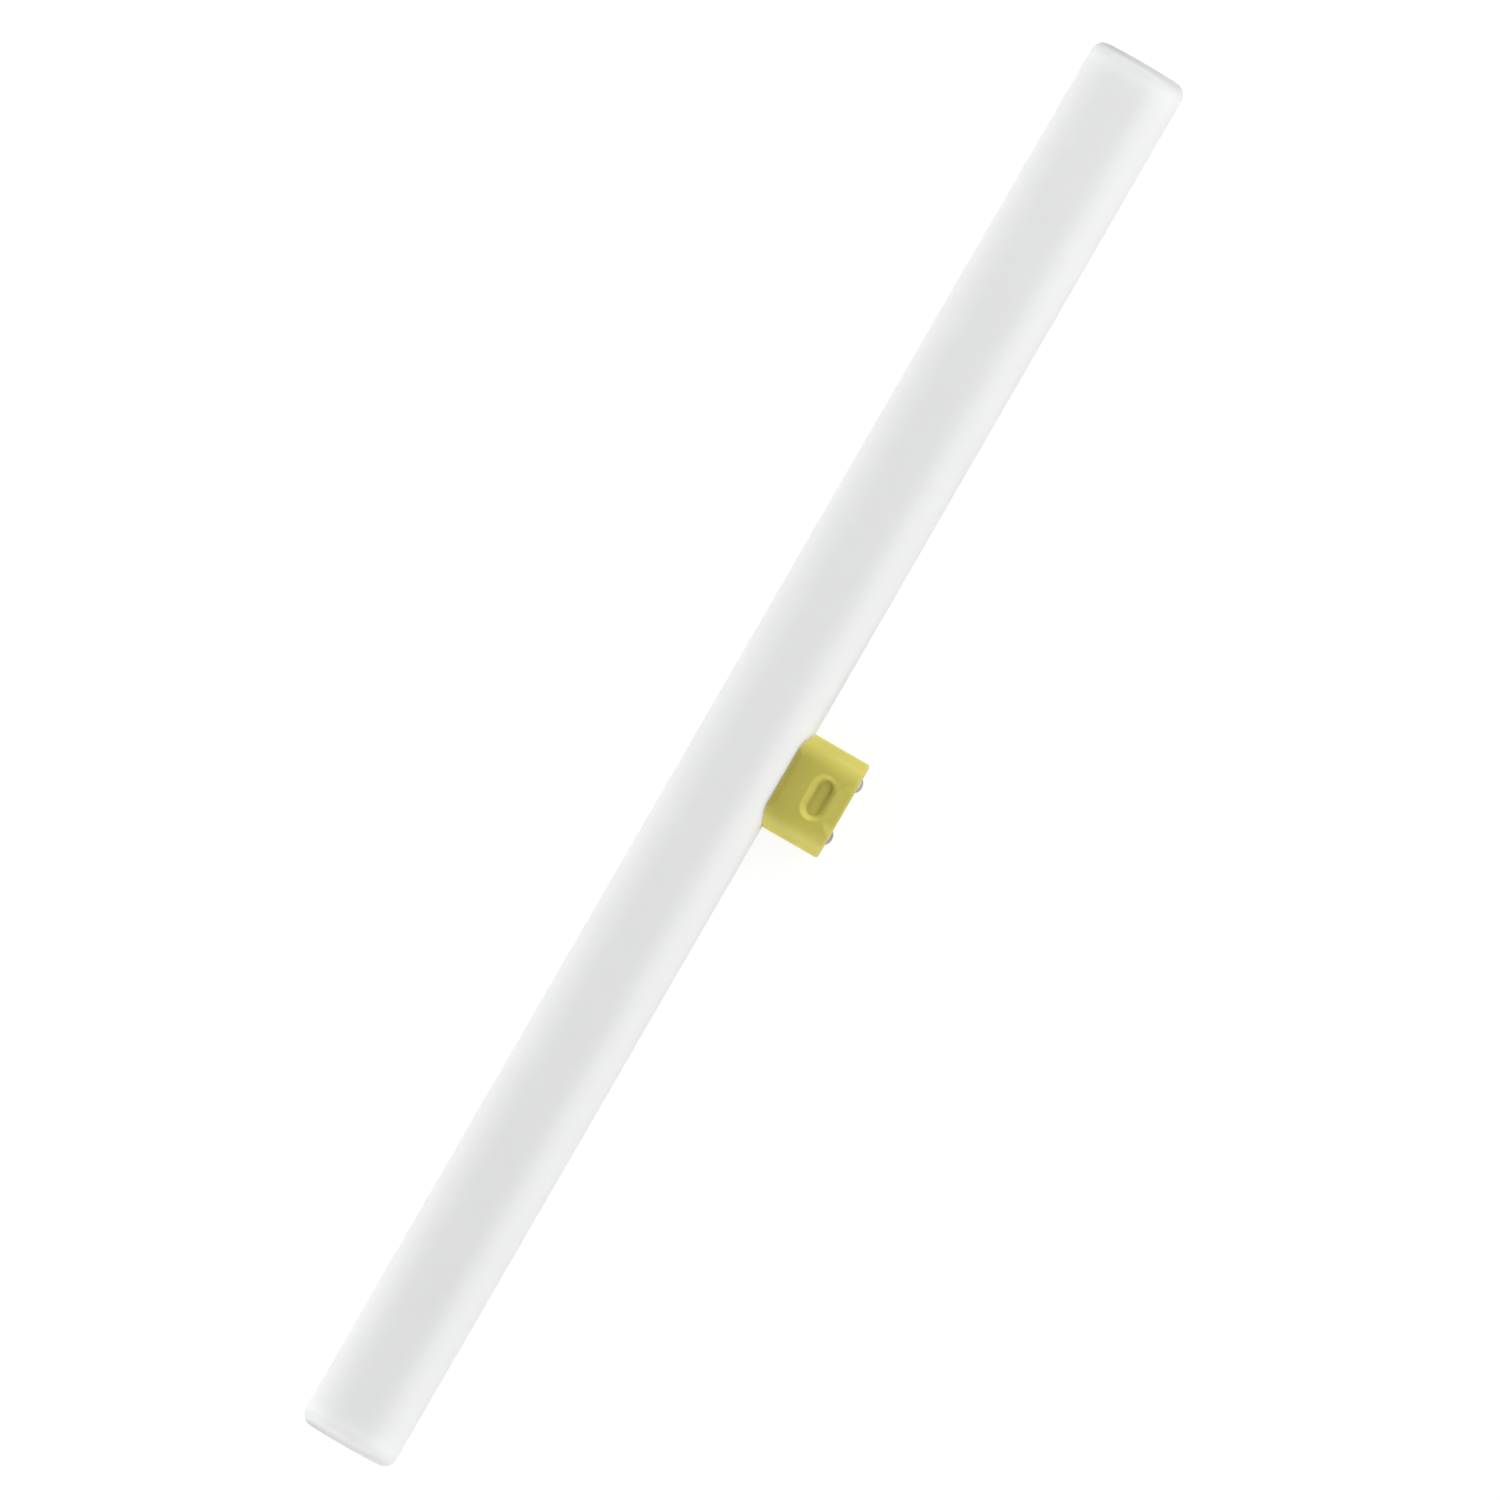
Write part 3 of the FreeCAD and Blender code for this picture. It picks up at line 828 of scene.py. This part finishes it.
@dataclass
class MouldedCap:
    """The plastic cap: one moulded skin, its end wall with seats and bosses, and its rib.

    Around the cap a place is a step along its outline, and out from the tube it is a reach,
    the distance from the tube's axis.
    """

    axes: LampAxes
    half_thickness: float = 9.1 * MM
    side_wall: float = 2.6 * MM
    end_wall: float = 3.0 * MM
    saddle_clearance: float = 0.05 * MM
    saddle_edge: float = 0.15 * MM
    rim_radius: float = 1.0 * MM
    foot_rise: float = 2.5 * MM
    foot_angle: float = math.radians(13.5)
    ramp_length: float = 4.5 * MM
    ramp_depth: float = 1.4 * MM
    ramp_floor_half: float = 5.9 * MM
    ramp_mouth_half: float = 9.7 * MM
    ramp_blend: float = 0.25 * MM
    ridge_blend: float = 0.10 * MM
    recess_depth: float = 1.6 * MM
    recess_from_face: float = 9.0 * MM
    recess_mouth: tuple[float, float] = (8.0 * MM, 4.5 * MM)
    recess_floor: tuple[float, float] = (5.8 * MM, 2.1 * MM)
    recess_skew: float = 0.45 * MM
    recess_rounding: float = 0.3
    seat_radius: float = 2.8 * MM
    seat_depth: float = 0.5 * MM
    seat_edge: float = 0.12 * MM
    shank_hole: float = 1.35 * MM
    boss_radius: float = 3.5 * MM
    boss_rise: float = 1.5 * MM
    rib_thickness: float = 1.4 * MM
    rib_rise: float = 9.0 * MM
    rib_edge: float = 0.3 * MM
    rib_edge_steps: int = 5
    rib_bands: int = 8
    fine_step: float = 0.14 * MM
    coarse_step: float = 0.35 * MM
    fine_margin: tuple[float, float] = (0.8 * MM, 0.5 * MM)
    face_inset: float = 0.08 * MM
    plain_steps: int = 23
    wall_steps: int = 12
    saddle_steps: int = 4
    rim_steps: int = 8
    saddle_rounds: int = 8
    even_rounds: int = 12
    circle_steps: int = 72
    crease: float = 34.0

    def build(self) -> None:
        """Build the cap and its rib."""
        place_piece(self._skin(), Finish.YELLOW_PLASTIC, "cap_body")
        place_piece(self._rib(), Finish.YELLOW_PLASTIC)

    @property
    def flat_half(self) -> float:
        """Half the length of the cap's flat sides."""
        return self.axes.cap_half_length - self.half_thickness

    @property
    def saddle_radius(self) -> float:
        """The radius of the saddle that sits on the tube."""
        return self.axes.tube_radius + self.saddle_clearance

    def _outline(self) -> tuple[Array, Array]:
        """The cap's plain outline, fine along the ramp's width and coarser round its ends.

        Returns:
            Its points in x and z, and its outward directions.
        """
        fine_end = self.ramp_mouth_half + self.fine_margin[0]
        lean = math.asin((fine_end - self.flat_half) / self.half_thickness)
        fine_count = round(lean * self.half_thickness / self.fine_step)
        coarse_count = round((math.pi / 2 - lean) * self.half_thickness / self.coarse_step)
        fine_arc = np.linspace(0, lean, fine_count + 1)
        coarse_arc = np.linspace(lean, math.pi / 2, coarse_count + 1)
        angles = np.concatenate((fine_arc[1:], coarse_arc[1:]))
        flat = np.arange(0, self.flat_half, self.fine_step)
        round_end = self.flat_half + self.half_thickness * np.sin(angles)
        x = np.concatenate((flat, [self.flat_half], round_end))
        turn = np.concatenate((0 * flat, [0.0], angles))
        quarter = np.stack((x, self.half_thickness * np.cos(turn)), 1)
        out = np.stack((np.sin(turn), np.cos(turn)), 1)
        points, directions = [], []
        for flip_x, flip_z, backwards in ((1, 1, 1), (1, -1, -1), (-1, -1, 1), (-1, 1, -1)):
            flip = np.array((flip_x, flip_z))
            points.append((quarter * flip)[::backwards][:-1])
            directions.append((out * flip)[::backwards][:-1])
        return np.concatenate(points), np.concatenate(directions)

    def _inside(
        self, x: Array, reach: Array, halves: tuple[float, float], middle: float
    ) -> Array:
        """How far inside a racetrack on the flat side each place is.

        Args:
            x: The place along the tube.
            reach: The distance from the tube's axis.
            halves: Half the racetrack's length and half its width.
            middle: The reach of the racetrack's middle.

        Returns:
            The distance to its edge, below 0 outside it.
        """
        straight = halves[0] - halves[1]
        past = np.maximum(np.abs(x) - straight, 0)
        return halves[1] - np.hypot(past, reach - middle)

    def _height(self, x: Array, base: Array, reach: Array) -> Array:
        """How high the cap's skin stands over its middle plane.

        Args:
            x: The place along the tube.
            base: The plain outline's height there.
            reach: The distance from the tube's axis.

        Returns:
            The height with the foot's bevel, the ramp and the recess cut.
        """
        saddle_edge = math.sqrt(self.saddle_radius ** 2 - self.half_thickness ** 2)
        foot_top = saddle_edge + self.foot_rise
        foot = self.half_thickness - (foot_top - reach) * math.tan(self.foot_angle)
        floor = self.half_thickness - self.ramp_depth
        floor = floor + (self.axes.cap_reach - reach) * self.ramp_depth / self.ramp_length
        mouth_drop = self.half_thickness - math.sqrt(
            self.half_thickness ** 2 - (self.ramp_mouth_half - self.flat_half) ** 2
        )
        flank = (self.ramp_depth - mouth_drop) / (self.ramp_mouth_half - self.ramp_floor_half)
        rise = (np.abs(x) - self.ramp_floor_half) * flank
        rise = -smooth_min(-rise, np.zeros_like(rise), self.ramp_blend)
        height = smooth_min(base, floor + rise, self.ridge_blend)
        height = smooth_min(height, foot, self.ridge_blend)
        centre = self.axes.cap_reach - self.recess_from_face
        mouth = self._inside(x, reach, self.recess_mouth, centre - self.recess_skew / 2)
        bottom = self._inside(x, reach, self.recess_floor, centre + self.recess_skew / 2)
        mouth = np.maximum(mouth, 0)
        share = mouth / np.maximum(mouth + np.maximum(-bottom, 0), TINY)
        return height - self.recess_depth * eased(share, self.recess_rounding)

    def _section(self, outline: Array, reach: Array) -> Array:
        """The skin's outline at a reach.

        Args:
            outline: The plain outline.
            reach: The reach of each place around it.

        Returns:
            The outline with the foot's bevel, the ramp and the recess cut.
        """
        height = self._height(outline[:, 0], np.abs(outline[:, 1]), reach)
        height = np.minimum(height, np.abs(outline[:, 1]))
        return np.stack((outline[:, 0], np.sign(outline[:, 1]) * height), 1)

    def _saddle_reach(self, section: Array) -> Array:
        """How far from the tube's axis the saddle is at each place."""
        return np.sqrt(self.saddle_radius ** 2 - section[:, 1] ** 2)

    def _rim_directions(self, section: Array) -> Array:
        """Outward directions of an outline, evened out over about the rim's radius.

        Args:
            section: The outline.

        Returns:
            The direction at each of its points.
        """
        along = np.roll(section, -1, 0) - np.roll(section, 1, 0)
        out = np.stack((-along[:, 1], along[:, 0]), 1)
        out /= np.linalg.norm(out, axis=1)[:, None]
        if np.sum(out * section) < 0:
            out = -out
        for _ in range(self.even_rounds):
            out = (np.roll(out, 1, 0) + 2 * out + np.roll(out, -1, 0)) / 4
        return out / np.linalg.norm(out, axis=1)[:, None]

    def _skin(self) -> Object:
        """The cap's skin, walls and end wall as one closed mesh.

        Returns:
            The piece.
        """
        draft = MeshDraft()
        outline, directions = self._outline()
        reach = self.axes.cap_reach

        def ring(section: Array, level: Array | float) -> Ring:
            """Add an outline at a reach, or at one reach for each of its points."""
            levels = np.broadcast_to(level, len(section))
            return draft.add_ring(np.stack((section[:, 0], -levels, section[:, 1]), 1))

        foot = outline
        for _ in range(self.saddle_rounds):
            foot = self._section(outline, self._saddle_reach(foot))
        start = self._saddle_reach(foot) + self.saddle_edge
        fine_from = reach - self.recess_from_face - self.recess_mouth[1] - self.fine_margin[1]
        fine_to = reach - self.rim_radius
        shares = np.linspace(0, 1, self.plain_steps + 1)[:-1]
        levels = [start + (fine_from - start) * share for share in shares]
        count = round((fine_to - fine_from) / self.fine_step)
        fine_levels = np.linspace(fine_from, fine_to, count + 1)
        levels += [np.full(len(outline), level) for level in fine_levels]

        inner = outline - directions * self.side_wall
        inner_saddle = self._saddle_reach(inner)
        hollow = reach - self.end_wall
        shares = np.linspace(0, 1, self.wall_steps + 1)
        rings = [ring(inner, hollow + (inner_saddle - hollow) * share) for share in shares]
        edge = foot - directions * self.saddle_edge
        for share in np.linspace(0, 1, self.saddle_steps + 1)[1:]:
            wall = inner + (edge - inner) * share
            rings.append(ring(wall, self._saddle_reach(wall)))
        bevel = self.saddle_edge * 0.3
        rings.append(ring(foot - directions * bevel, self._saddle_reach(foot) + bevel))
        rings += [ring(self._section(outline, level), level) for level in levels]

        for angle in np.radians(np.linspace(0, 90, self.rim_steps + 1))[1:]:
            level = fine_to + self.rim_radius * math.sin(angle)
            section = self._section(outline, np.full(len(outline), level))
            out = self._rim_directions(section)
            rings.append(ring(section - out * self.rim_radius * (1 - math.cos(angle)), level))
        section = self._section(outline, np.full(len(outline), reach))
        out = self._rim_directions(section)
        rings.append(ring(section - out * (self.rim_radius + self.face_inset), reach))
        draft.bridge_all(rings[::-1])

        bores = [self._contact_bore(draft, side) for side in Side]
        draft.fill(rings[-1], [bore[0] for bore in bores], -reach, facing_out=True)
        draft.fill(rings[0], [bore[-1] for bore in bores], -hollow, facing_out=False)
        return draft.finish("moulded_cap", self.axes, self.crease)

    def _contact_bore(self, draft: MeshDraft, side: Side) -> list[Ring]:
        """A contact's seat, shank hole and inner boss, from the outer face inwards.

        Args:
            draft: The draft that gets the rings.
            side: Which contact it is for.

        Returns:
            The rings, the first on the outer face and the last on the inner one.
        """
        reach = self.axes.cap_reach
        hollow = reach - self.end_wall
        top = hollow - self.boss_rise
        edge = self.seat_edge
        profile = [
            (reach, self.seat_radius + edge),
            (reach - edge / 3, self.seat_radius + edge / 3),
            (reach - edge, self.seat_radius),
            (reach - self.seat_depth, self.seat_radius),
            (reach - self.seat_depth, self.shank_hole),
            (top, self.shank_hole),
            (top, self.boss_radius - edge),
            (top + edge, self.boss_radius),
            (hollow, self.boss_radius),
        ]
        middle = side.value * self.axes.contact_place
        return turn_profile(
            draft, profile, lambda along, x, z: (middle + x, -along, -z), self.circle_steps
        )

    def _rib(self) -> Object:
        """The plate that joins the two flat sides inside, with its free edge rounded.

        Returns:
            The piece.
        """
        draft = MeshDraft()
        top = self.axes.cap_reach - self.end_wall
        half = self.rib_thickness / 2
        edge = self.rib_edge
        free = top - self.rib_rise
        left = arc((-half + edge, free + edge), edge, 180, 270, self.rib_edge_steps)
        right = arc((half - edge, free + edge), edge, 270, 360, self.rib_edge_steps)
        section = [(-half, top), *map(tuple, left), *map(tuple, right), (half, top)]
        width = self.half_thickness - self.side_wall
        bands = np.linspace(-width, width, self.rib_bands + 1)
        rings = [draft.add_ring([(x, -level, z) for x, level in section]) for z in bands]
        draft.bridge_all(rings)
        draft.faces.append(tuple(rings[0][::-1]))
        draft.faces.append(tuple(rings[-1]))
        return draft.finish("cap_rib", self.axes)


@dataclass
class Contacts:
    """The two plated contacts with their riveted tails."""

    axes: LampAxes
    head_radius: float = 2.6 * MM
    head_rise: float = 1.2 * MM
    seat_depth: float = 0.5 * MM
    shank_radius: float = 1.3 * MM
    wall: float = 4.5 * MM
    tag_thickness: float = 0.5 * MM
    tail_radius: float = 2.1 * MM
    tail_top: float = 1.6 * MM
    tail_rise: float = 0.9 * MM
    head_lip: float = 0.12 * MM
    head_soft: float = 0.02 * MM
    tail_edge: float = 0.1 * MM
    tail_foot: float = 0.08 * MM
    dome_steps: int = 18
    segments: int = 96

    def build(self) -> None:
        """Build both contacts."""
        for side in Side:
            place_piece(self._contact(side), Finish.CONTACT_METAL, f"contact_{side.word}")

    def _contact(self, side: Side) -> Object:
        """One contact, turned about its own axis.

        Args:
            side: Which contact it is.

        Returns:
            The piece.
        """
        face = self.axes.cap_reach
        rise, wide = self.head_rise, self.head_radius
        dome = (wide * wide + rise * rise) / (2 * rise)
        steep = math.degrees(math.asin((wide - self.head_lip) / dome))
        skin = arc((face + rise - dome, 0), dome, 0, steep, self.dome_steps)
        head = [tuple(point) for point in skin][1:]
        head.append((face - self.head_soft, wide - self.head_soft))
        head.append((face - self.head_lip, wide))
        seat = face - self.seat_depth
        inside = face - self.wall - self.tag_thickness
        tail = inside - self.tail_rise
        profile = head + [
            (seat, wide),
            (seat, self.shank_radius),
            (inside, self.shank_radius),
            (inside, self.tail_radius - self.tail_foot),
            (inside - self.tail_foot, self.tail_radius),
            (tail + self.tail_edge, self.tail_top + self.tail_edge),
            (tail, self.tail_top - self.tail_edge),
        ]
        middle = side.value * self.axes.contact_place
        return turned_piece(
            f"contact_pin_{side.word}", self.axes, profile,
            lambda along, x, z: (middle + x, -along, -z), self.segments, tip=face + rise,
        )


@dataclass
class Fittings:
    """What the cap hides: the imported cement, tags, leads and sleeves, in their finishes."""

    finishes: dict[str, Finish] = field(default_factory=lambda: {
        "cement_bead": Finish.CEMENT,
        "contact_tag": Finish.TAG_METAL,
        "lead_wire": Finish.LEAD_METAL,
        "lead_sleeve": Finish.SLEEVE,
    })

    def build(self) -> None:
        """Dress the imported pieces."""
        for name, node in frame["nodes"].items():
            for start, finish in self.finishes.items():
                if name.startswith(start):
                    finish.dress(node)
                    finish.slot
                    log.info("%s: packed piece in %s", name, finish.slot)


@dataclass(frozen=True)
class SoftBox:
    """A soft light that faces the lamp.

    Attributes:
        name: Its name.
        azimuth: Where it stands round the lamp, in degrees from +X towards +Y.
        elevation: How high it stands over the floor, in degrees.
        size: Its width and its height.
        power: Its power in watts.
        distance: How far it is from the lamp.
    """

    name: str
    azimuth: float
    elevation: float
    size: tuple[float, float]
    power: float
    distance: float = 1.6

    def place(self) -> Vector:
        """Where the light stands.

        Returns:
            The place, from the frame's origin.
        """
        azimuth, elevation = math.radians(self.azimuth), math.radians(self.elevation)
        flat = math.cos(elevation)
        aim = Vector((math.cos(azimuth) * flat, math.sin(azimuth) * flat, math.sin(elevation)))
        return aim * self.distance

    def build(self) -> None:
        """Add the light to the scene."""
        data = bpy.data.lights.new(self.name, "AREA")
        data.shape = "RECTANGLE"
        data.size, data.size_y = self.size
        data.energy = self.power
        light = bpy.data.objects.new(self.name, data)
        light.location = self.place()
        light.rotation_mode = "QUATERNION"
        light.rotation_quaternion = (-light.location).to_track_quat("-Z", "Y")
        bpy.context.scene.collection.objects.link(light)


@dataclass
class Studio:
    """The pale floor, the soft lights and the camera."""

    axes: LampAxes
    floor_size: float = 12.0
    floor_tone: Colour = (0.30, 0.30, 0.30)
    floor_glow: float = 0.84
    sky_strength: float = 0.06
    boxes: tuple[SoftBox, ...] = (
        SoftBox("near_box", 180, 5, (1.6, 0.22), 29.0),
        SoftBox("far_box", 0, 8, (1.6, 0.36), 20.0),
        SoftBox("left_box", 90, 31, (2.4, 0.6), 21.0),
        SoftBox("right_box", -95, 21, (2.4, 0.6), 11.5),
        SoftBox("high_box", -90, 60, (2.4, 0.7), 1.5),
        SoftBox("key_box", -45, 21, (1.6, 0.9), 37.0, 3.2),
    )
    image_pixels: int = 1500
    pixels_per_metre: float = 3191.0
    tube_pixel: tuple[float, float] = (743.7, 754.4)
    tube_lean: float = math.radians(30.03)
    camera_distance: float = 8.0
    camera_sight: float = 100.0
    sensor: float = 36.0

    def build(self) -> None:
        """Build the floor, the sky, the lights and the camera."""
        self._floor()
        self._sky()
        for box in self.boxes:
            box.build()
        self._camera()

    def _floor(self) -> None:
        """A pale floor that keeps the lamp's shadow and shows white to the camera."""
        mesh = bpy.data.meshes.new("floor")
        half = self.floor_size / 2
        corners = [(-half, -half, 0), (half, -half, 0), (half, half, 0), (-half, half, 0)]
        mesh.from_pydata(corners, [], [(0, 1, 2, 3)])
        floor = bpy.data.objects.new("floor", mesh)
        bpy.context.scene.collection.objects.link(floor)
        material = bpy.data.materials.new("pale_floor")
        material.use_nodes = True
        tree = material.node_tree
        tree.nodes.clear()
        output = tree.nodes.new("ShaderNodeOutputMaterial")
        diffuse = tree.nodes.new("ShaderNodeBsdfDiffuse")
        diffuse.inputs["Color"].default_value = (*self.floor_tone, 1)
        glow = tree.nodes.new("ShaderNodeEmission")
        both = tree.nodes.new("ShaderNodeAddShader")
        seen = self._seen_rays(tree)
        strength = tree.nodes.new("ShaderNodeMath")
        strength.operation = "MULTIPLY"
        strength.inputs[1].default_value = self.floor_glow
        for source, target in (
            (seen, strength.inputs[0]),
            (strength.outputs[0], glow.inputs["Strength"]),
            (diffuse.outputs[0], both.inputs[0]),
            (glow.outputs[0], both.inputs[1]),
            (both.outputs[0], output.inputs["Surface"]),
        ):
            tree.links.new(source, target)
        mesh.materials.append(material)

    def _seen_rays(self, tree: bpy.types.NodeTree) -> Socket:
        """Whether a ray is seen: straight from the camera, by a reflection or through glass.

        Args:
            tree: The nodes that ask.

        Returns:
            1 for such a ray and 0 for any other one.
        """
        path = tree.nodes.new("ShaderNodeLightPath")
        total = path.outputs["Is Camera Ray"]
        for name in ("Is Glossy Ray", "Is Transmission Ray"):
            either = tree.nodes.new("ShaderNodeMath")
            either.operation = "MAXIMUM"
            tree.links.new(total, either.inputs[0])
            tree.links.new(path.outputs[name], either.inputs[1])
            total = either.outputs[0]
        return total

    def _sky(self) -> None:
        """An even pale sky that shows white to the camera."""
        world = bpy.data.worlds.new("studio")
        bpy.context.scene.world = world
        world.use_nodes = True
        tree = world.node_tree
        background = tree.nodes["Background"]
        background.inputs["Color"].default_value = (1, 1, 1, 1)
        seen = self._seen_rays(tree)
        strength = tree.nodes.new("ShaderNodeMapRange")
        strength.inputs["To Min"].default_value = self.sky_strength
        strength.inputs["To Max"].default_value = 1.0
        tree.links.new(seen, strength.inputs["Value"])
        tree.links.new(strength.outputs["Result"], background.inputs["Strength"])

    def _camera(self) -> None:
        """A long lens square to the cap's upper flat side, turned as in the photograph."""
        turn = self.axes.matrix().to_3x3()
        out = turn @ Vector((0, 0, 1))
        along = turn @ Vector((1, 0, 0))
        cap = turn @ Vector((0, -1, 0))
        lean = self.tube_lean
        up = along * math.cos(lean) - cap * math.sin(lean)
        right = along * math.sin(lean) + cap * math.cos(lean)
        half = self.image_pixels / 2
        off_x = (half - self.tube_pixel[0]) / self.pixels_per_metre
        off_y = (self.tube_pixel[1] - half) / self.pixels_per_metre
        target = self.axes.centre + right * off_x + up * off_y
        data = bpy.data.cameras.new("camera")
        width = self.image_pixels / self.pixels_per_metre
        data.sensor_width = self.sensor
        data.lens = self.sensor * self.camera_distance / width
        data.clip_end = self.camera_sight
        camera = bpy.data.objects.new("camera", data)
        facing = Matrix((right, up, out)).transposed()
        camera.matrix_world = Matrix.Translation(target + out * self.camera_distance) @ (
            facing.to_4x4()
        )
        bpy.context.scene.collection.objects.link(camera)
        bpy.context.scene.camera = camera
        bpy.context.scene.view_settings.view_transform = "Standard"


def main() -> None:
    """Build the lamp and the studio around it."""
    logging.basicConfig(level=logging.INFO, format="%(name)s: %(message)s")
    axes = LampAxes.from_frame(frame["record"])
    for assembly in (GlassTube(axes), MouldedCap(axes), Contacts(axes), Fittings(), Studio(axes)):
        assembly.build()


if __name__ == "__main__":
    main()
